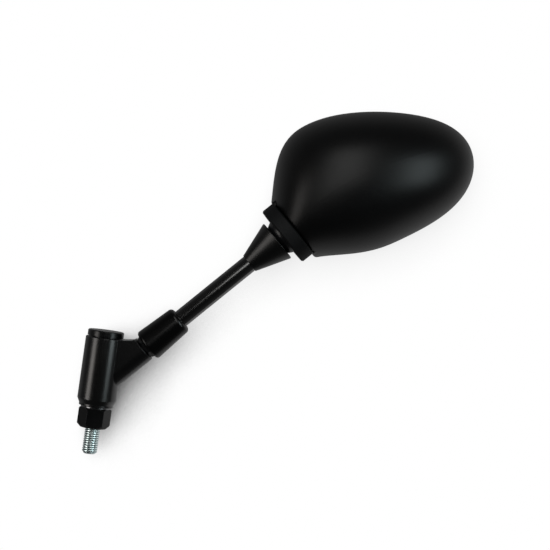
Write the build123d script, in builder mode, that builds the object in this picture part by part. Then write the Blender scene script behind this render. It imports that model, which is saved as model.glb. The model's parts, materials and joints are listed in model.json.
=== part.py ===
from build123d import *
import os
from math import cos, dist, pi, radians, sin, sqrt, tan

# Motorcycle mirror, seen from the back of its head along +Y, with the glass facing +Y.
# The origin is on the stud's axis in the face of the hexagon that seats on the lever bracket,
# and +Z runs up the stud. All lengths are in millimetres.

# Fixing stud and hexagon
stud_diameter = 10.0
stud_thread_length = 17.5
stud_tip_chamfer = 1.2
journal_diameter = 11.0
hex_across_flats = 19.0
hex_height = 13.4
hex_lower_face_diameter = 17.6
hex_upper_face_diameter = 19.6
hex_corner_angle = 45.0
hex_turn = 10.4
friction_washer_diameter = 19.8
friction_washer_thickness = 1.0

# Break-away spring pack on the stud's upper end
spring_thread_diameter = 8.0
spring_thread_chamfer = 0.8
shoulder_relief = 0.3
spring_washer_diameter = 18.4
spring_washer_thickness = 1.5
spring_height = 22.0
spring_mean_diameter = 14.2
spring_wire_width = 3.0
spring_wire_height = 2.4
spring_turns = 4.5
spring_nut_across_flats = 13.0
spring_nut_height = 8.0
stud_overrun = 2.0

# Holder: the barrel, its arm and the web between them
barrel_diameter = 26.0
barrel_height = 46.4
barrel_foot_diameter = 22.8
barrel_foot_height = 1.6
barrel_foot_taper = 3.2
barrel_foot_chamfer = 0.4
barrel_top_chamfer = 0.5
barrel_floor = 7.4
spring_chamber_diameter = 19.2
arm_root_height = 14.0
arm_diameter = 17.4
arm_length = 39.4
arm_edge_chamfer = 0.6
web_rise = 1.0

# Cap on the barrel
cap_diameter = 24.1
cap_height = 3.9
cap_chamfer = 0.6
cap_groove = 0.7
cap_neck_diameter = 21.6
cap_plug_length = 4.8
cap_plug_wall = 1.6

# Stem with its lock nut, rubber cover and cone
stem_lean = 43.0
stem_thread_diameter = 10.0
stem_thread_depth = 16.0
stem_diameter = 12.0
rod_length = 90.4
stem_pin_diameter = 9.0
stem_pin_length = 7.0
lock_nut_across_flats = 14.0
lock_nut_height = 10.0
cover_gap = 2.4
cover_length = 28.9
cover_lower_diameter = 22.2
cover_upper_diameter = 19.0
cover_lower_round = 1.9
cover_upper_round = 2.8
cone_length = 24.3
cone_small_diameter = 13.2
cone_large_diameter = 29.8
cone_grip_length = 6.0
cone_wall = 2.2
cone_edge_round = 0.7

# Ball joint
ball_diameter = 27.0
ball_seat_thickness = 0.9
lower_seat_angles = (-17.0, -4.0)
upper_seat_angles = (8.0, 60.0)
ring_gap = 3.9
ring_diameter = 43.0
ring_thickness = 9.2
ring_chamfer = 0.9
ball_depth = 4.5
cup_diameter = 32.4
cup_crown = 3.0
cup_lift = 0.6
cup_boss_height = 1.2
disc_spring_diameter = 22.0
disc_spring_hole = 10.0
disc_spring_thickness = 1.2
disc_spring_height = 2.4
clamp_plate_thickness = 2.5
clamp_plate_width = 18.0
clamp_plate_hole = 10.0
clamp_plate_end = 4.0
screw_circle = 39.0
screw_diameter = 2.9
screw_head_diameter = 5.6
screw_head_height = 2.0
screw_engagement = 6.0
screw_boss_diameter = 5.6

# Head: oval sections along the stem's line, measured from the face that seats on the ring
head_length = 130.9
head_widest_at = 53.3
head_half_width = 50.8
neck_half_width = 24.0
neck_width_flare = 36.7
head_half_depth = 50.0
neck_half_depth = 38.6
neck_depth_flare = 28.0
head_equator = 20.0
tip_slimming = 0.06
head_crest_at = 25.6
head_crest_offset = 2.2
head_sweep = 14.7
head_sweep_length = 123.4
near_sections = 7
far_sections = 10
last_section_angle = 84.0
rim_back = 25.5
rim_edge_round = 0.8
housing_wall = 2.6
neck_floor = 3.0
neck_edge_round = 2.8

# Mirror glass and the frame that it sits in
frame_lip = 2.6
frame_start = 4.0
frame_corner = 10.0
ledge_width = 3.0
ledge_thickness = 1.8
gasket_margin = 0.4
gasket_thickness = 0.4
glass_gap = 0.4
glass_thickness = 2.0
glass_radius = 1300.0
glass_crown_below_rim = 0.4

# Radial clearances
press_clearance = 0.02
running_clearance = 0.06
ball_clearance = 0.08
free_clearance = 0.3

# Heights on the stud's axis
barrel_bottom = hex_height + friction_washer_thickness
barrel_top = barrel_bottom + barrel_height
chamber_floor = barrel_bottom + barrel_floor
spring_bottom = chamber_floor + spring_washer_thickness
spring_top = spring_bottom + spring_height
spring_nut_bottom = spring_top + spring_washer_thickness
stud_top = spring_nut_bottom + spring_nut_height + stud_overrun

# Distances along the stem, from where its axis meets the barrel's axis
cover_start = arm_length + cover_gap
lock_nut_top = arm_length + lock_nut_height
cone_start = arm_length + rod_length
cone_end = cone_start + cone_length
ring_start = cone_end + ring_gap
ball_centre = ring_start + ball_depth
neck_start = ring_start + ring_thickness

# Radii of the ball and its seats
ball_radius = ball_diameter / 2
seat_inner_radius = ball_radius + ball_clearance
seat_outer_radius = seat_inner_radius + ball_seat_thickness
socket_radius = seat_outer_radius + ball_clearance

# Directions and drawing planes
lean = radians(stem_lean)
stem_root = Vector(0, 0, barrel_bottom + arm_root_height)
stem_direction = Vector(sin(lean), 0, cos(lean))
stem_left = Vector(-cos(lean), 0, sin(lean))
stem_axis = Axis(stem_root, stem_direction)
stem_side = Plane(origin=stem_root, x_dir=-stem_left, z_dir=(0, -1, 0))


def on_stem(distance):
    """The point on the stem's axis at a distance from the barrel's axis."""
    return stem_root + stem_direction * distance


def stem_cross(distance):
    """The plane square to the stem at a distance; its x is to the left and its y to the front."""
    return Plane(origin=on_stem(distance), x_dir=stem_left, z_dir=stem_direction)


def turn(outline, plane, axis):
    """Revolve a closed outline of (radius, distance) points round an axis."""
    with BuildSketch(plane) as profile:
        with BuildLine():
            Polyline(*outline, close=True)
        make_face()
    revolve(profile.sketch, axis=axis)


def hex_prism(plane, across_flats, lower_face, upper_face, height, bore):
    """A hexagon whose corners are turned down to a round face at each end, with a plain bore."""
    corner = across_flats / sqrt(3)
    corner_slope = tan(radians(hex_corner_angle))
    with BuildSketch(plane) as hexagon:
        RegularPolygon(across_flats / 2, 6, major_radius=False)
        Circle(bore / 2, mode=Mode.SUBTRACT)
    extrude(hexagon.sketch, amount=height)
    with BuildSketch(Plane(origin=plane.origin, x_dir=plane.x_dir, z_dir=-plane.y_dir)) as corners:
        with BuildLine():
            Polyline(
                (0, 0),
                (lower_face / 2, 0),
                (corner, (corner - lower_face / 2) * corner_slope),
                (corner, height - (corner - upper_face / 2) * corner_slope),
                (upper_face / 2, height),
                (0, height),
                close=True,
            )
        make_face()
    revolve(corners.sketch, axis=Axis(plane.origin, plane.z_dir), mode=Mode.INTERSECT)


def flat_ring(plane, outer_diameter, inner_diameter, thickness):
    """A plain washer standing on a plane."""
    with BuildSketch(plane) as ring:
        Circle(outer_diameter / 2)
        Circle(inner_diameter / 2, mode=Mode.SUBTRACT)
    extrude(ring.sketch, amount=thickness)


def ball_band(angles):
    """A ring of even thickness that follows the ball between two latitudes."""
    start, end = angles
    centre = (0, ball_centre)
    with BuildSketch(stem_side) as band:
        with BuildLine():
            inner = CenterArc(centre, seat_inner_radius, start, end - start)
            outer = CenterArc(centre, seat_outer_radius, start, end - start)
            Line(inner @ 0, outer @ 0)
            Line(inner @ 1, outer @ 1)
        make_face()
    revolve(band.sketch, axis=stem_axis)


def head_midline(distance):
    """How far the head's oval lies to the left of the stem's line."""
    phase = pi * (distance - head_crest_at) / head_sweep_length
    return head_crest_offset - head_sweep * (1 - cos(phase))


def half_size(distance, widest, at_neck, flare, inset):
    """Half of an oval's width or depth, with the same curvature before and after the widest place."""
    full = widest - inset
    reach = head_length - inset - head_widest_at
    if distance >= head_widest_at:
        share = (distance - head_widest_at) / reach
        return full * sqrt(1 - share**2) * (1 - tip_slimming * share**2)
    share = (head_widest_at - distance) / head_widest_at
    fall = widest - at_neck
    square = full * (1 + 2 * tip_slimming) * head_widest_at**2 / (2 * fall * reach**2)
    slope = tan(radians(flare)) * head_widest_at / fall
    fourth = slope + square - 3
    cube = 1 - square - fourth
    return full - fall * (square * share**2 + cube * share**3 + fourth * share**4)


def head_stations(inset, start):
    """Distance, half width and half depth of each oval from start to just short of the tip."""
    reach = head_length - inset - head_widest_at
    distances = []
    for step in range(near_sections):
        distances.append(start + (head_widest_at - start) * step / near_sections)
    for step in range(far_sections):
        angle = last_section_angle * step / (far_sections - 1)
        distances.append(head_widest_at + reach * sin(radians(angle)))
    stations = []
    for distance in distances:
        width = half_size(distance, head_half_width, neck_half_width, neck_width_flare, inset)
        depth = half_size(distance, head_half_depth, neck_half_depth, neck_depth_flare, inset)
        stations.append((distance, width, depth))
    return stations


def head_tip(inset):
    """Distance of the head's far end."""
    return head_length - inset


def head_form(inset, start):
    """The ovals of the head, drawn in by an inset, ending in a point at the tip."""
    sections = []
    for distance, half_width, half_depth in head_stations(inset, start):
        with BuildSketch(stem_cross(neck_start + distance)) as section:
            with Locations((head_midline(distance), -head_equator)):
                Ellipse(half_width, half_depth)
        sections.append(section.sketch)
    tip = on_stem(neck_start + head_tip(inset)) + stem_left * head_midline(head_tip(inset))
    sections.append(Vertex(tip.X, head_equator, tip.Z))
    return sections


def frame_plane(back):
    """The plane parallel to the glass at a depth; its x is to the left and its y along the stem."""
    neck = on_stem(neck_start)
    return Plane(origin=(neck.X, back, neck.Z), x_dir=stem_left, z_dir=(0, 1, 0))


def outline_points(inset):
    """Points round the glass frame, drawn in by an inset, from the neck's left side to its right."""
    stations = head_stations(inset, frame_start + inset - frame_lip)
    left = [(head_midline(d) + width, d) for d, width, _ in stations]
    right = [(head_midline(d) - width, d) for d, width, _ in stations]
    tip = (head_midline(head_tip(inset)), head_tip(inset))
    return [*left, tip, *reversed(right)]


def frame_outline(back, inset):
    """The glass frame's outline at a depth, drawn in by an inset, with round corners at the neck."""
    points = outline_points(inset)
    with BuildSketch(frame_plane(back)) as outline:
        with BuildLine():
            Spline(*points)
            Line(points[-1], points[0])
        make_face()
        fillet(outline.vertices(), frame_corner)
    return outline.sketch


# Fixing stud
with BuildPart() as mounting_stud:
    thread_radius = stud_diameter / 2
    journal_radius = journal_diameter / 2
    neck_radius = spring_thread_diameter / 2
    shoulder = chamber_floor - shoulder_relief
    turn(
        [
            (0, -stud_thread_length),
            (thread_radius - stud_tip_chamfer, -stud_thread_length),
            (thread_radius, stud_tip_chamfer - stud_thread_length),
            (thread_radius, 0),
            (journal_radius, 0),
            (journal_radius, shoulder),
            (neck_radius, shoulder),
            (neck_radius, stud_top - spring_thread_chamfer),
            (neck_radius - spring_thread_chamfer, stud_top),
            (0, stud_top),
        ],
        Plane.XZ,
        Axis.Z,
    )

# Hexagon that seats on the bracket
with BuildPart() as hex_base:
    hex_prism(
        Plane.XY.rotated((0, 0, hex_turn)),
        hex_across_flats,
        hex_lower_face_diameter,
        hex_upper_face_diameter,
        hex_height,
        journal_diameter + 2 * press_clearance,
    )

with BuildPart() as friction_washer:
    flat_ring(
        Plane.XY.offset(hex_height),
        friction_washer_diameter,
        journal_diameter + 2 * running_clearance,
        friction_washer_thickness,
    )

# Spring pack
spring_washer_hole = spring_thread_diameter + 2 * running_clearance
with BuildPart() as lower_spring_washer:
    flat_ring(
        Plane.XY.offset(chamber_floor),
        spring_washer_diameter,
        spring_washer_hole,
        spring_washer_thickness,
    )

with BuildPart() as upper_spring_washer:
    flat_ring(
        Plane.XY.offset(spring_top),
        spring_washer_diameter,
        spring_washer_hole,
        spring_washer_thickness,
    )

with BuildPart() as breakaway_spring:
    with BuildLine(Plane.XY.offset(spring_bottom)) as coil:
        Helix(spring_height / spring_turns, spring_height, spring_mean_diameter / 2)
    with BuildSketch(Plane(origin=coil.line @ 0, x_dir=(1, 0, 0), z_dir=coil.line % 0)):
        Rectangle(spring_wire_width, spring_wire_height)
    sweep(is_frenet=True)
    split(bisect_by=Plane.XY.offset(spring_bottom), keep=Keep.TOP)
    split(bisect_by=Plane.XY.offset(spring_top), keep=Keep.BOTTOM)

with BuildPart() as spring_nut:
    hex_prism(
        Plane.XY.offset(spring_nut_bottom),
        spring_nut_across_flats,
        spring_nut_across_flats,
        spring_nut_across_flats,
        spring_nut_height,
        spring_thread_diameter + 2 * press_clearance,
    )

# Holder
with BuildPart() as holder:
    barrel_radius = barrel_diameter / 2
    foot_radius = barrel_foot_diameter / 2
    foot_top = barrel_bottom + barrel_foot_height
    turn(
        [
            (0, barrel_bottom),
            (foot_radius - barrel_foot_chamfer, barrel_bottom),
            (foot_radius, barrel_bottom + barrel_foot_chamfer),
            (foot_radius, foot_top),
            (barrel_radius, foot_top + barrel_foot_taper),
            (barrel_radius, barrel_top - barrel_top_chamfer),
            (barrel_radius - barrel_top_chamfer, barrel_top),
            (0, barrel_top),
        ],
        Plane.XZ,
        Axis.Z,
    )
    arm_radius = arm_diameter / 2
    turn(
        [
            (0, 0),
            (arm_radius, 0),
            (arm_radius, arm_length - arm_edge_chamfer),
            (arm_radius - arm_edge_chamfer, arm_length),
            (0, arm_length),
        ],
        stem_side,
        stem_axis,
    )
    arm_end = on_stem(arm_length - arm_edge_chamfer)
    arm_corner = arm_end + stem_left * arm_radius
    web_top = barrel_top + web_rise
    web_corner = arm_corner - stem_direction * ((arm_corner.Z - web_top) / stem_direction.Z)
    with BuildSketch(Plane.XZ):
        with BuildLine():
            Polyline(
                (0, stem_root.Z),
                (arm_end.X, arm_end.Z),
                (arm_corner.X, arm_corner.Z),
                (web_corner.X, web_top),
                (barrel_radius - barrel_top_chamfer, barrel_top),
                (0, barrel_top),
                close=True,
            )
        make_face()
    extrude(amount=arm_radius, both=True)
    with BuildSketch(Plane.XY.offset(chamber_floor)):
        Circle(spring_chamber_diameter / 2)
    extrude(amount=barrel_top - chamber_floor, mode=Mode.SUBTRACT)
    with BuildSketch(Plane.XY.offset(barrel_bottom)):
        Circle(journal_diameter / 2 + running_clearance)
    extrude(amount=barrel_floor, mode=Mode.SUBTRACT)
    with BuildSketch(stem_cross(arm_length)):
        Circle(stem_thread_diameter / 2 + press_clearance)
    extrude(amount=-stem_thread_depth - free_clearance, mode=Mode.SUBTRACT)

# Cap on the barrel
with BuildPart() as barrel_cap:
    cap_top = barrel_top + cap_groove + cap_height
    plug_radius = spring_chamber_diameter / 2 - press_clearance
    turn(
        [
            (0, barrel_top),
            (plug_radius - cap_plug_wall, barrel_top),
            (plug_radius - cap_plug_wall, barrel_top - cap_plug_length),
            (plug_radius, barrel_top - cap_plug_length),
            (plug_radius, barrel_top),
            (cap_neck_diameter / 2, barrel_top),
            (cap_neck_diameter / 2, barrel_top + cap_groove),
            (cap_diameter / 2, barrel_top + cap_groove),
            (cap_diameter / 2, cap_top - cap_chamfer),
            (cap_diameter / 2 - cap_chamfer, cap_top),
            (0, cap_top),
        ],
        Plane.XZ,
        Axis.Z,
    )

# Stem
with BuildPart() as stem:
    pin_radius = stem_pin_diameter / 2
    pin_start = ball_centre - sqrt(ball_radius**2 - (stem_diameter / 2) ** 2)
    turn(
        [
            (0, arm_length - stem_thread_depth),
            (stem_thread_diameter / 2, arm_length - stem_thread_depth),
            (stem_thread_diameter / 2, lock_nut_top),
            (stem_diameter / 2, lock_nut_top),
            (stem_diameter / 2, pin_start),
            (pin_radius, pin_start),
            (pin_radius, pin_start + stem_pin_length),
            (0, pin_start + stem_pin_length),
        ],
        stem_side,
        stem_axis,
    )

with BuildPart() as stem_lock_nut:
    hex_prism(
        stem_cross(arm_length),
        lock_nut_across_flats,
        lock_nut_across_flats,
        lock_nut_across_flats,
        lock_nut_height,
        stem_thread_diameter + 2 * press_clearance,
    )

# Rubber cover over the lock nut
with BuildPart() as lock_nut_cover:
    cover_end = cover_start + cover_length
    nut_pocket_radius = lock_nut_across_flats / sqrt(3) + running_clearance
    turn(
        [
            (nut_pocket_radius, cover_start),
            (cover_lower_diameter / 2, cover_start),
            (cover_upper_diameter / 2, cover_end),
            (stem_diameter / 2 + press_clearance, cover_end),
            (stem_diameter / 2 + press_clearance, lock_nut_top),
            (nut_pocket_radius, lock_nut_top),
        ],
        stem_side,
        stem_axis,
    )
    rims = lock_nut_cover.edges().filter_by(GeomType.CIRCLE).sort_by(SortBy.RADIUS)
    fillet(rims[-1], cover_lower_round)
    fillet(rims[-2], cover_upper_round)

# Cone round the top of the stem
with BuildPart() as stem_cone:
    grip_radius = stem_diameter / 2 + press_clearance
    turn(
        [
            (grip_radius, cone_start),
            (cone_small_diameter / 2, cone_start),
            (cone_large_diameter / 2, cone_end),
            (cone_large_diameter / 2 - cone_wall, cone_end),
            (grip_radius, cone_start + cone_grip_length),
        ],
        stem_side,
        stem_axis,
    )
    rims = stem_cone.edges().filter_by(GeomType.CIRCLE).sort_by(SortBy.RADIUS)
    fillet(rims[-1], cone_edge_round)

# Ball and its seats
with BuildPart() as pivot_ball:
    with Locations(on_stem(ball_centre)):
        Sphere(ball_radius)
    with BuildSketch(stem_cross(ball_centre - ball_diameter)):
        Circle(stem_diameter / 2)
    extrude(amount=pin_start - ball_centre + ball_diameter, mode=Mode.SUBTRACT)
    with BuildSketch(stem_cross(pin_start)):
        Circle(pin_radius + press_clearance)
    extrude(amount=stem_pin_length + free_clearance, mode=Mode.SUBTRACT)

with BuildPart() as lower_ball_seat:
    ball_band(lower_seat_angles)

with BuildPart() as upper_ball_seat:
    ball_band(upper_seat_angles)

screw_places = [(screw_circle / 2, 0), (-screw_circle / 2, 0)]
screw_hole_radius = screw_diameter / 2 + running_clearance

# Ring that carries the ball from below
with BuildPart() as pivot_ring:
    ring_radius = ring_diameter / 2
    turn(
        [
            (0, ring_start),
            (ring_radius - ring_chamfer, ring_start),
            (ring_radius, ring_start + ring_chamfer),
            (ring_radius, neck_start - ring_chamfer),
            (ring_radius - ring_chamfer, neck_start),
            (0, neck_start),
        ],
        stem_side,
        stem_axis,
    )
    with Locations(on_stem(ball_centre)):
        Sphere(socket_radius, mode=Mode.SUBTRACT)
    with BuildSketch(stem_cross(ball_centre)):
        Circle(socket_radius)
    extrude(amount=neck_start - ball_centre, mode=Mode.SUBTRACT)
    with BuildSketch(stem_cross(neck_start)):
        with Locations(*screw_places):
            Circle(screw_hole_radius)
    extrude(amount=-screw_engagement, mode=Mode.SUBTRACT)

# Clamp on top of the ball
cup_start = neck_start + cup_lift
cup_end = ball_centre + socket_radius + cup_crown
plate_start = cup_end + disc_spring_height
plate_end = plate_start + clamp_plate_thickness

with BuildPart() as pressure_cup:
    with BuildSketch(stem_cross(cup_start)):
        Circle(cup_diameter / 2)
    extrude(amount=cup_end - cup_start)
    with BuildSketch(stem_cross(cup_end)):
        Circle(disc_spring_hole / 2 - running_clearance)
    extrude(amount=cup_boss_height)
    with Locations(on_stem(ball_centre)):
        Sphere(socket_radius, mode=Mode.SUBTRACT)

with BuildPart() as pressure_spring:
    turn(
        [
            (disc_spring_diameter / 2, cup_end),
            (disc_spring_diameter / 2, cup_end + disc_spring_thickness),
            (disc_spring_hole / 2, plate_start),
            (disc_spring_hole / 2, plate_start - disc_spring_thickness),
        ],
        stem_side,
        stem_axis,
    )

with BuildPart() as clamp_plate:
    with BuildSketch(stem_cross(plate_start)):
        Rectangle(screw_circle + 2 * clamp_plate_end, clamp_plate_width)
        Circle(clamp_plate_hole / 2, mode=Mode.SUBTRACT)
        with Locations(*screw_places):
            Circle(screw_hole_radius, mode=Mode.SUBTRACT)
    extrude(amount=clamp_plate_thickness)
    fillet(clamp_plate.edges().filter_by(Axis(stem_root, stem_direction)), clamp_plate_end)

with BuildPart() as clamp_screws:
    with BuildSketch(stem_cross(neck_start - screw_engagement + free_clearance)):
        with Locations(*screw_places):
            Circle(screw_diameter / 2)
    extrude(amount=plate_end - neck_start + screw_engagement - free_clearance)
    with BuildSketch(stem_cross(plate_end)):
        with Locations(*screw_places):
            Circle(screw_head_diameter / 2)
    extrude(amount=screw_head_height)

# Insets and depths of the frame round the glass; the pocket takes the bent glass at its farthest edge
ledge_inset = frame_lip + ledge_width
glass_inset = frame_lip + glass_gap
bulge_middle = (head_midline(head_widest_at), head_widest_at)
glass_reach = max(dist(bulge_middle, point) for point in outline_points(glass_inset))
glass_sag = glass_radius - sqrt(glass_radius**2 - glass_reach**2)
glass_pocket_depth = glass_crown_below_rim + glass_sag + glass_thickness + gasket_thickness
ledge_back = rim_back - glass_pocket_depth
ledge_front = ledge_back - ledge_thickness

# Hollow of the housing, as far back as the ledge under the glass
with BuildPart() as hollow:
    loft(sections=head_form(housing_wall, neck_floor))
    split(bisect_by=frame_plane(ledge_front), keep=Keep.BOTTOM)

# Housing
with BuildPart() as housing:
    loft(sections=head_form(0, 0))
    fillet(housing.edges().sort_by(stem_axis)[0], neck_edge_round)
    split(bisect_by=frame_plane(rim_back), keep=Keep.BOTTOM)
    rim_edges = housing.edges().group_by(Axis.Y)[-1]
    fillet(rim_edges, rim_edge_round)
    add(hollow.part, mode=Mode.SUBTRACT)
    extrude(frame_outline(rim_back, frame_lip), amount=-glass_pocket_depth, mode=Mode.SUBTRACT)
    extrude(frame_outline(ledge_back, ledge_inset), amount=-ledge_thickness, mode=Mode.SUBTRACT)
    with BuildSketch(stem_cross(neck_start)):
        with Locations(*screw_places):
            Circle(screw_boss_diameter / 2)
    extrude(amount=plate_start - neck_start)
    with BuildSketch(stem_cross(neck_start)):
        Circle(cup_diameter / 2 + running_clearance)
        with Locations(*screw_places):
            Circle(screw_hole_radius)
    extrude(amount=plate_start - neck_start, mode=Mode.SUBTRACT)

# Glass, bent to a wide sphere, and the foam strip under it
with BuildPart() as mirror_glass:
    extrude(frame_outline(rim_back, glass_inset), amount=-glass_pocket_depth)
    crown = frame_plane(rim_back - glass_crown_below_rim - glass_radius)
    bulge_centre = crown.from_local_coords((*bulge_middle, 0))
    with Locations(bulge_centre):
        Sphere(glass_radius, mode=Mode.INTERSECT)
        Sphere(glass_radius - glass_thickness, mode=Mode.SUBTRACT)

with BuildPart() as glass_gasket:
    extrude(frame_outline(ledge_back, glass_inset), amount=glass_pocket_depth)
    window = frame_outline(ledge_back, ledge_inset - gasket_margin)
    extrude(window, amount=glass_pocket_depth, mode=Mode.SUBTRACT)
    with Locations(bulge_centre):
        Sphere(glass_radius - glass_thickness, mode=Mode.INTERSECT)

pieces = {
    "mounting_stud": mounting_stud,
    "hex_base": hex_base,
    "friction_washer": friction_washer,
    "lower_spring_washer": lower_spring_washer,
    "breakaway_spring": breakaway_spring,
    "upper_spring_washer": upper_spring_washer,
    "spring_nut": spring_nut,
    "holder": holder,
    "barrel_cap": barrel_cap,
    "stem": stem,
    "stem_lock_nut": stem_lock_nut,
    "lock_nut_cover": lock_nut_cover,
    "stem_cone": stem_cone,
    "pivot_ball": pivot_ball,
    "lower_ball_seat": lower_ball_seat,
    "upper_ball_seat": upper_ball_seat,
    "pivot_ring": pivot_ring,
    "pressure_cup": pressure_cup,
    "pressure_spring": pressure_spring,
    "clamp_plate": clamp_plate,
    "clamp_screws": clamp_screws,
    "housing": housing,
    "mirror_glass": mirror_glass,
    "glass_gasket": glass_gasket,
}

os.makedirs("parts", exist_ok=True)
for label, piece in pieces.items():
    piece.part.label = label
    export_step(piece.part, f"parts/{label}.step")
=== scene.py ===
import json
from math import cos, pi, radians, sin, tan, tau

import bmesh
import bpy
from mathutils import Matrix, Vector


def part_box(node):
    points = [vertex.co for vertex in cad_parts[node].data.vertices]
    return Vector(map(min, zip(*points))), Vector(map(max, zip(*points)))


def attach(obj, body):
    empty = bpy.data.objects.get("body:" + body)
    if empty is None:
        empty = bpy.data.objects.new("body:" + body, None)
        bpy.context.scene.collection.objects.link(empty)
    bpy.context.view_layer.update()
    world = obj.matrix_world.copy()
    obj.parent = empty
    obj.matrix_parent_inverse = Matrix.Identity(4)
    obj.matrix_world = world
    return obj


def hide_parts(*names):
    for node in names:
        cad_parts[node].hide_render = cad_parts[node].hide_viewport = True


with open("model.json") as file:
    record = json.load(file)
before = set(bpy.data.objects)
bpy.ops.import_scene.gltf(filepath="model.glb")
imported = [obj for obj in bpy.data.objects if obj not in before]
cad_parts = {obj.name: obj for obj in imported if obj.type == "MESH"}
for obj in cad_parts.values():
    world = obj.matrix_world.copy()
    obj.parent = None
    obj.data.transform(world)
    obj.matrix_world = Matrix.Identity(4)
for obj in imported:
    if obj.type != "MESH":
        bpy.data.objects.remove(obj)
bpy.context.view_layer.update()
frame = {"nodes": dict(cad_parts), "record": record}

# Lengths are in metres, in the part's own frame: the stud's axis is Z and the glass faces +Y.
# A direction in the image is three numbers: right, up and towards the camera.
millimetres = 1000

# The photograph's view: a square image, looking along +Y and rolled a little
view_distance = 0.8
view_span = 0.3685
view_middle = Vector((0.1066, 0.0, 0.1181))
view_roll = radians(8.06)
sensor_width = 0.036

# Lamps: degrees right of the camera and above it, distance, degrees wide and high, strength and colour
lamps = {
    "top_lamp": (0, 29, 0.39, 27, 55, 3.2, (1.0, 1.0, 0.98)),
    "right_lamp": (50, 6, 0.91, 23, 42, 6.1, (0.86, 0.98, 1.0)),
    "left_lamp": (-54, 0, 1.4, 21, 37, 4.2, (1.0, 0.96, 0.92)),
    "soft_lamp": (-30, 18, 1.2, 58, 58, 3.55, (1.0, 1.0, 1.0)),
}

# These lamps light matt colours alone, and the others show in reflections alone
matt_lamps = ("soft_lamp",)

# Room: its light on matt colours, then its dim and lit sides in reflections and where the lit side begins
room_light = 0.17
dim_side = 0.24
lit_side = 0.75
lit_direction = (0.93, -0.36, 0.0)
lit_start = -0.1

# Curtain round the camera: its reach in degrees, and its brightness in the middle and at the rim
curtain_radius = 1.6
curtain_reach = 100
curtain_segments = 64
curtain_levels = (0.015, 0.11)

# Table behind the mirror, and the places along the stem where it touches the barrel's foot and the rim
table_gap = 0.0005
table_size = 1.0
foot_place = -0.010
rim_place = 0.171

# Painted shade on the table: the way to its light, and how far off a piece still shades
shade_from = (-0.5, 0.4, 1.0)
shade_reach = 0.042
shade_samples = 12

# The open share of that light in full shade and in none
shade_range = (0.26, 0.8)

# The light left in full shade, by the barrel and by the head, and where those are along X
shade_depths = (0.06, 0.8)
shade_run = (0.06, 0.13)

# Surface detail: size and detail of the clouds in a colour, the smears in a gloss, and the patches along an
# edge that is lightened for wear and as a painted highlight
clouds = (0.014, 4.0)
smears = (0.03, 5.0)
edge_patches = (0.003, 3.0)
relief_detail = 3.0
noise_range = (0.3, 0.7)
black_tint = (0.94, 1.0, 1.12)

# Metal finishes: darker and lighter colour, range of roughness, size and depth of the relief
metal_finishes = {
    "zinc_steel": ((0.76, 0.88, 0.89), (0.84, 0.95, 0.95), (0.28, 0.36), 0.0004, 4e-6),
    "plain_steel": ((0.1, 0.1, 0.105), (0.18, 0.18, 0.185), (0.2, 0.28), 0.0004, 2e-6),
    "spring_steel": ((0.3, 0.3, 0.31), (0.4, 0.4, 0.42), (0.3, 0.4), 0.0004, 3e-6),
    "mirror_glass": ((0.8, 0.83, 0.85), (0.83, 0.86, 0.88), (0.01, 0.03), 0.02, 1e-7),
}

# Black finishes: as the metals, with levels for colours, then the level of edges lightened partly for wear
# and partly as a painted highlight, and the specular level
black_finishes = {
    "black_steel": (0.0008, 0.0015, (0.3, 0.4), 0.0005, 3e-6, 0.02, 0.115),
    "black_casting": (0.0007, 0.0012, (0.25, 0.28), 0.0008, 3e-6, 0.015, 0.45),
    "cap_plastic": (0.0008, 0.0014, (0.24, 0.3), 0.0005, 3e-6, 0.01, 0.28),
    "housing_plastic": (0.0004, 0.0008, (0.38, 0.41), 0.0004, 5e-6, 0.005, 0.17),
    "black_enamel": (0.0003, 0.0005, (0.18, 0.21), 0.004, 6e-7, 0.0005, 0.95),
    "cover_rubber": (0.0002, 0.0004, (0.25, 0.29), 0.0005, 6e-6, 0.0004, 0.22),
    "cone_plastic": (0.0005, 0.0008, (0.32, 0.35), 0.0005, 4e-6, 0.0008, 0.31),
    "ring_plastic": (0.0016, 0.0026, (0.58, 0.68), 0.0005, 5e-6, 0.0026, 0.09),
    "ball_metal": (0.002, 0.004, (0.3, 0.38), 0.0005, 2e-6, 0.004, 0.25),
    "black_acetal": (0.004, 0.006, (0.4, 0.5), 0.0006, 3e-6, 0.006, 0.2),
    "gasket_foam": (0.01, 0.02, (0.75, 0.9), 0.0006, 2e-5, 0.02, 0.2),
}
plain_ior = 1.5
enamel_ior = 1.55

# Rounding of sharp edges, and the cosines of the normal's turn where wear begins and where it is full
edge_round = 0.0003
edge_samples = 6
edge_turn = (0.995, 0.9)

# Stud threads
thread_pitch = 0.0015
thread_depth = 0.00078
thread_runout = 0.0015
crest_share = 0.5
crest_crown = 0.00008
crest_power = 3
thread_columns = 64
rows_per_pitch = 16
spring_thread_radius = 0.004
spring_thread_chamfer = 0.0008
shoulder_relief = 0.0003
# Painted shade in the thread roots: its colour, and how far below the crest it is full
root_painted_shade = (0.28, 0.35, 0.35)
root_shade_depth = 0.00045
sharp_angle = radians(70)


def image_direction(right, up, towards):
    """A direction given by the image's right and up and the way to the camera."""
    image_right = Vector((cos(view_roll), 0, sin(view_roll)))
    image_up = Vector((-sin(view_roll), 0, cos(view_roll)))
    return (image_right * right + image_up * up + Vector((0, -1, 0)) * towards).normalized()


def link_object(name, data):
    """A new object in the scene."""
    thing = bpy.data.objects.new(name, data)
    bpy.context.scene.collection.objects.link(thing)
    return thing


def named(rows, name):
    """The row of a record's list that has this name."""
    return next(row for row in rows if row["name"] == name)


# Shader nodes
def empty_tree(owner):
    """The node tree of a material or a world, with nothing in it."""
    owner.use_nodes = True
    owner.node_tree.nodes.clear()
    return owner.node_tree


def add(tree, kind):
    """A new shader node of this kind."""
    return tree.nodes.new("ShaderNode" + kind)


def plug(tree, value, socket):
    """Link an output to a socket, or write a plain value on it."""
    if isinstance(value, bpy.types.NodeSocket):
        tree.links.new(value, socket)
    else:
        socket.default_value = value


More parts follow.
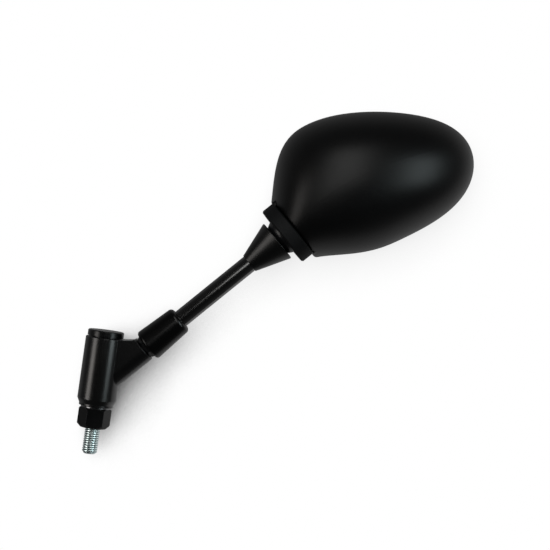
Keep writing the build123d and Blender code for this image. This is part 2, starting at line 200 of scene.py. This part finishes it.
def calculate(tree, operation, first, second):
    """Two numbers put together by an operation of the Math node."""
    node = add(tree, "Math")
    node.operation = operation
    plug(tree, first, node.inputs[0])
    plug(tree, second, node.inputs[1])
    return node.outputs["Value"]


def dot_product(tree, first, second):
    """How far one vector points along another."""
    node = add(tree, "VectorMath")
    node.operation = "DOT_PRODUCT"
    plug(tree, first, node.inputs[0])
    plug(tree, second, node.inputs[1])
    return node.outputs["Value"]


def remap(tree, value, before, after, smooth=False):
    """A number taken from one range to another, and held at its ends."""
    node = add(tree, "MapRange")
    if smooth:
        node.interpolation_type = "SMOOTHSTEP"
    plug(tree, value, node.inputs["Value"])
    for end, number in zip(("From Min", "From Max", "To Min", "To Max"), (*before, *after)):
        plug(tree, number, node.inputs[end])
    return node.outputs["Result"]


def blend(tree, kind, factor, low, high):
    """Two numbers (FLOAT) or colours (RGBA) mixed by a factor."""
    mix = add(tree, "Mix")
    mix.data_type = kind
    plug(tree, factor, mix.inputs["Factor"])
    for end, value in (("A", low), ("B", high)):
        plug(tree, (*value, 1) if isinstance(value, tuple) else value, mix.inputs[end])
    return mix.outputs["Result"]


def noise(tree, place, size, detail):
    """Noise whose features are about size metres across."""
    texture = add(tree, "TexNoise")
    texture.inputs["Scale"].default_value = 1 / size
    texture.inputs["Detail"].default_value = detail
    tree.links.new(place, texture.inputs["Vector"])
    return texture.outputs["Fac"]


# Camera
def make_camera():
    """The camera at the photograph's angle."""
    data = bpy.data.cameras.new("photo_camera")
    data.sensor_width = sensor_width * millimetres
    data.lens = sensor_width * millimetres * view_distance / view_span
    camera = link_object("photo_camera", data)
    right = image_direction(1, 0, 0)
    up = image_direction(0, 1, 0)
    back = image_direction(0, 0, 1)
    turned = Matrix((right, up, back)).transposed().to_4x4()
    camera.matrix_world = Matrix.Translation(view_middle + back * view_distance) @ turned
    bpy.context.scene.camera = camera


# Lamps, world and stage
def add_lamp(name, azimuth, elevation, distance, width, height, strength, colour):
    """An upright soft lamp that faces the middle of the view."""
    side, rise = radians(azimuth), radians(elevation)
    direction = image_direction(sin(side) * cos(rise), sin(rise), cos(side) * cos(rise))
    across = image_direction(0, 1, 0).cross(direction).normalized()
    data = bpy.data.lights.new(name, "AREA")
    data.shape = "RECTANGLE"
    data.size = 2 * distance * tan(radians(width) / 2)
    data.size_y = 2 * distance * tan(radians(height) / 2)
    data.energy = strength * pi * data.size * data.size_y
    data.color = colour
    lamp = link_object(name, data)
    lamp.visible_diffuse = name in matt_lamps
    lamp.visible_glossy = name not in matt_lamps
    turned = Matrix((across, direction.cross(across), direction)).transposed().to_4x4()
    lamp.matrix_world = Matrix.Translation(view_middle + direction * distance) @ turned


def make_world():
    """A dim room that is white to the camera, and brighter on one side in reflections."""
    world = bpy.data.worlds.new("studio")
    bpy.context.scene.world = world
    tree = empty_tree(world)
    output = add(tree, "OutputWorld")
    background = add(tree, "Background")
    background.inputs["Color"].default_value = (1, 1, 1, 1)
    place = add(tree, "TexCoord").outputs["Generated"]
    facing = dot_product(tree, place, image_direction(*lit_direction))
    walls = remap(tree, facing, (lit_start, 1.0), (dim_side, lit_side), smooth=True)
    path = add(tree, "LightPath")
    mirrored = calculate(tree, "MAXIMUM", path.outputs["Is Glossy Ray"], path.outputs["Is Transmission Ray"])
    unseen = blend(tree, "FLOAT", mirrored, room_light, walls)
    strength = blend(tree, "FLOAT", path.outputs["Is Camera Ray"], unseen, 1.0)
    tree.links.new(strength, background.inputs["Strength"])
    tree.links.new(background.outputs[0], output.inputs["Surface"])


def make_curtain():
    """A dark round curtain on the camera's side, which only shows in reflections."""
    bm = bmesh.new()
    bmesh.ops.create_uvsphere(
        bm, u_segments=curtain_segments, v_segments=curtain_segments // 2, radius=curtain_radius
    )
    back = image_direction(0, 0, 1)
    limit = cos(radians(curtain_reach))
    outside = [face for face in bm.faces if face.calc_center_median().normalized().dot(back) < limit]
    bmesh.ops.delete(bm, geom=outside, context="FACES")
    data = bpy.data.meshes.new("curtain")
    bm.to_mesh(data)
    bm.free()
    data.materials.append(curtain_cloth(back, limit))
    curtain = link_object("curtain", data)
    curtain.location = view_middle
    curtain.visible_camera = False
    curtain.visible_diffuse = False
    curtain.visible_transmission = False
    curtain.visible_shadow = False


def curtain_cloth(back, limit):
    """Nearly black behind the camera, and lighter towards the rim."""
    material = bpy.data.materials.new("curtain_cloth")
    tree = empty_tree(material)
    output = add(tree, "OutputMaterial")
    cloth = add(tree, "Emission")
    ahead = dot_product(tree, add(tree, "TexCoord").outputs["Object"], back)
    to_rim = (curtain_radius, curtain_radius * limit)
    tree.links.new(remap(tree, ahead, to_rim, curtain_levels, smooth=True), cloth.inputs["Strength"])
    tree.links.new(cloth.outputs[0], output.inputs["Surface"])
    return material


def make_table():
    """The table sheet that the mirror lies on, face down, and that carries its painted shade."""
    head_turn = named(frame["record"]["behaviour"]["joints"], "head_turn")
    stem_axis = Vector(head_turn["axis"])
    ball = Vector(head_turn["pos_m"])
    stem_root = ball - stem_axis * (ball.x / stem_axis.x)
    foot_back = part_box("holder")[1].y + table_gap
    rim_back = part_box("housing")[1].y + table_gap
    slope = (rim_back - foot_back) / (rim_place - foot_place)
    across = Vector((-stem_axis.z, 0, stem_axis.x))
    half = table_size / 2
    points = []
    for along, side in [(-half, -half), (half, -half), (half, half), (-half, half)]:
        point = stem_root + stem_axis * along + across * side
        point.y = foot_back + slope * (along - foot_place)
        points.append(point)
    data = bpy.data.meshes.new("table_top")
    data.from_pydata(points, [], [(0, 1, 2, 3)])
    data.materials.append(table_painted_shade())
    table = link_object("table_top", data)
    table.visible_glossy = False
    table.visible_shadow = False


def table_painted_shade():
    """Clear but for a painted soft shade of the mirror in front of it, from an occlusion test, deepest by
    the barrel.
    """
    material = bpy.data.materials.new("table_painted_shade")
    tree = empty_tree(material)
    output = add(tree, "OutputMaterial")
    clear = add(tree, "BsdfTransparent")
    point = add(tree, "NewGeometry")
    along = add(tree, "SeparateXYZ")
    tree.links.new(point.outputs["Position"], along.inputs["Vector"])
    deepest = remap(tree, along.outputs["X"], shade_run, shade_depths, smooth=True)
    lit_from = add(tree, "CombineXYZ")
    for socket, value in zip(lit_from.inputs, image_direction(*shade_from)):
        socket.default_value = value
    cover = add(tree, "AmbientOcclusion")
    cover.samples = shade_samples
    cover.inputs["Distance"].default_value = shade_reach
    tree.links.new(lit_from.outputs["Vector"], cover.inputs["Normal"])
    # painted shade: the clear sheet is tinted darker where the occlusion test finds the mirror towards the
    # light
    shade = remap(tree, cover.outputs["AO"], shade_range, (deepest, 1.0))
    front_alone = calculate(tree, "MAXIMUM", shade, point.outputs["Backfacing"])
    tree.links.new(front_alone, clear.inputs["Color"])
    tree.links.new(clear.outputs[0], output.inputs["Surface"])
    return material


# Materials
def worn_and_lit_edge(tree):
    """Near 1 along sharp edges and 0 on open faces, with the rounded normal that goes with it."""
    rounded = add(tree, "Bevel")
    rounded.samples = edge_samples
    rounded.inputs["Radius"].default_value = edge_round
    flat = add(tree, "NewGeometry")
    facing = dot_product(tree, rounded.outputs["Normal"], flat.outputs["Normal"])
    return remap(tree, facing, edge_turn, (0.0, 1.0)), rounded.outputs["Normal"]


def finish(name, dark, light, rough, grain, depth, rubbed_and_lit, specular=0.5, metallic=0.0, ior=plain_ior):
    """Paint, plastic, rubber or metal: cloudy colour, uneven gloss, fine relief, and edges lightened partly
    for wear and partly as a painted highlight.
    """
    material = bpy.data.materials.new(name)
    material.use_nodes = True
    tree = material.node_tree
    shader = tree.nodes["Principled BSDF"]
    place = add(tree, "TexCoord").outputs["Object"]
    cloudy = remap(tree, noise(tree, place, *clouds), noise_range, (0.0, 1.0))
    colour = blend(tree, "RGBA", cloudy, dark, light)
    edge, normal = worn_and_lit_edge(tree)
    patches = remap(tree, noise(tree, place, *edge_patches), noise_range, (0.0, 1.0))
    # edges lighter in colour: partly wear, partly a painted highlight
    colour = blend(tree, "RGBA", calculate(tree, "MULTIPLY", edge, patches), colour, rubbed_and_lit)
    tree.links.new(colour, shader.inputs["Base Color"])
    smeared = remap(tree, noise(tree, place, *smears), noise_range, rough)
    tree.links.new(smeared, shader.inputs["Roughness"])
    relief = add(tree, "Bump")
    relief.inputs["Distance"].default_value = depth
    tree.links.new(noise(tree, place, grain, relief_detail), relief.inputs["Height"])
    tree.links.new(normal, relief.inputs["Normal"])
    tree.links.new(relief.outputs["Normal"], shader.inputs["Normal"])
    shader.inputs["Metallic"].default_value = metallic
    shader.inputs["Specular IOR Level"].default_value = specular
    shader.inputs["IOR"].default_value = ior
    return material


def black(level):
    """A slightly blue black."""
    return tuple(level * share for share in black_tint)


def make_finishes():
    """A material for each of the record's slots, by its name."""
    made = {}
    for name, (dark, light, rough, grain, depth) in metal_finishes.items():
        made[name] = finish(name, dark, light, rough, grain, depth, light, metallic=1.0)
    for name, (dark, light, rough, grain, depth, rubbed_and_lit, specular) in black_finishes.items():
        ior = enamel_ior if name == "black_enamel" else plain_ior
        made[name] = finish(
            name, black(dark), black(light), rough, grain, depth, black(rubbed_and_lit), specular, ior=ior
        )
    return made


def paint_root_shade(material):
    """Paint shade into the thread's roots, where the mesh marks them."""
    tree = material.node_tree
    tint = tree.nodes["Principled BSDF"].inputs["Base Color"]
    roots = add(tree, "Attribute")
    roots.attribute_name = "thread_root"
    unshaded = tint.links[0].from_socket
    # painted shade: the base colour darkens towards the thread roots
    tree.links.new(blend(tree, "RGBA", roots.outputs["Fac"], unshaded, root_painted_shade), tint)


def dress_nodes(finishes):
    """Give every solid the finish that the record names for it."""
    for row in frame["record"]["subparts"]:
        mesh = frame["nodes"][row["node"]].data
        mesh.materials.clear()
        mesh.materials.append(finishes[row["material_slot"]])


# Stud with real threads
def thread_fall(height, turn, start, end):
    """How far a vee thread with crowned crests lies below its crest, fading out at both ends of its run."""
    phase = (height / thread_pitch - turn) % 1.0
    vee = 1 - abs(2 * phase - 1)
    crown = crest_crown * min(1.0, vee / crest_share) ** crest_power
    valley = max(0.0, vee - crest_share) / (1 - crest_share)
    flanks = (thread_depth - crest_crown) * (1 - cos(pi * valley)) / 2
    fade = min(1.0, max(0.0, (end - height) / thread_runout), max(0.0, (height - start) / thread_runout))
    return (crown + flanks) * fade


def stud_rows():
    """Height, radius and thread run of each ring of the stud, from its tip to its top."""
    low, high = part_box("mounting_stud")
    pin = named(frame["record"]["mounts"], "fixing_thread")["dims"]
    thread_radius = pin["r_mm"] / millimetres
    thread_start = -pin["length_mm"] / millimetres
    tip_chamfer = thread_start - low.z
    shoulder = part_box("lower_spring_washer")[0].z - shoulder_relief
    top = high.z - spring_thread_chamfer
    rows = [(low.z, thread_radius - tip_chamfer, None)]
    rows += thread_rows(thread_start, 0.0, thread_radius)
    rows += [(0.0, high.x, None), (shoulder, high.x, None)]
    rows += thread_rows(shoulder, top, spring_thread_radius)
    rows.append((high.z, spring_thread_radius - spring_thread_chamfer, None))
    return rows


def thread_rows(start, end, radius):
    """The rings of one threaded length, whose thread runs out only at its end."""
    count = round((end - start) / thread_pitch * rows_per_pitch)
    run = (start - thread_runout, end)
    return [(start + (end - start) * step / count, radius, run) for step in range(count + 1)]


def stud_mesh():
    """A closed mesh through the stud's rings, with its thread roots marked."""
    bm = bmesh.new()
    roots = bm.verts.layers.float.new("thread_root")
    rings = []
    for height, radius, run in stud_rows():
        ring = []
        for column in range(thread_columns):
            turn = column / thread_columns
            fall = thread_fall(height, turn, *run) if run else 0.0
            angle = tau * turn
            vertex = bm.verts.new(((radius - fall) * cos(angle), (radius - fall) * sin(angle), height))
            vertex[roots] = min(1.0, fall / root_shade_depth)
            ring.append(vertex)
        rings.append(ring)
    for lower, upper in zip(rings, rings[1:]):
        for column in range(thread_columns):
            after = (column + 1) % thread_columns
            bm.faces.new((lower[column], lower[after], upper[after], upper[column]))
    bm.faces.new(reversed(rings[0]))
    bm.faces.new(rings[-1])
    data = bpy.data.meshes.new("threaded_stud")
    bm.to_mesh(data)
    bm.free()
    data.shade_smooth()
    return data


def make_stud(material):
    """The threaded stud, in place of the plain one."""
    data = stud_mesh()
    data.materials.append(material)
    stud = link_object("threaded_stud", data)
    split = stud.modifiers.new("sharp_edges", "EDGE_SPLIT")
    split.split_angle = sharp_angle
    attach(stud, "base")
    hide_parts("mounting_stud")


make_camera()
make_world()
make_curtain()
make_table()
for name, settings in lamps.items():
    add_lamp(name, *settings)
finishes = make_finishes()
paint_root_shade(finishes["zinc_steel"])
dress_nodes(finishes)
make_stud(finishes["zinc_steel"])

bpy.context.scene.view_settings.view_transform = "Standard"
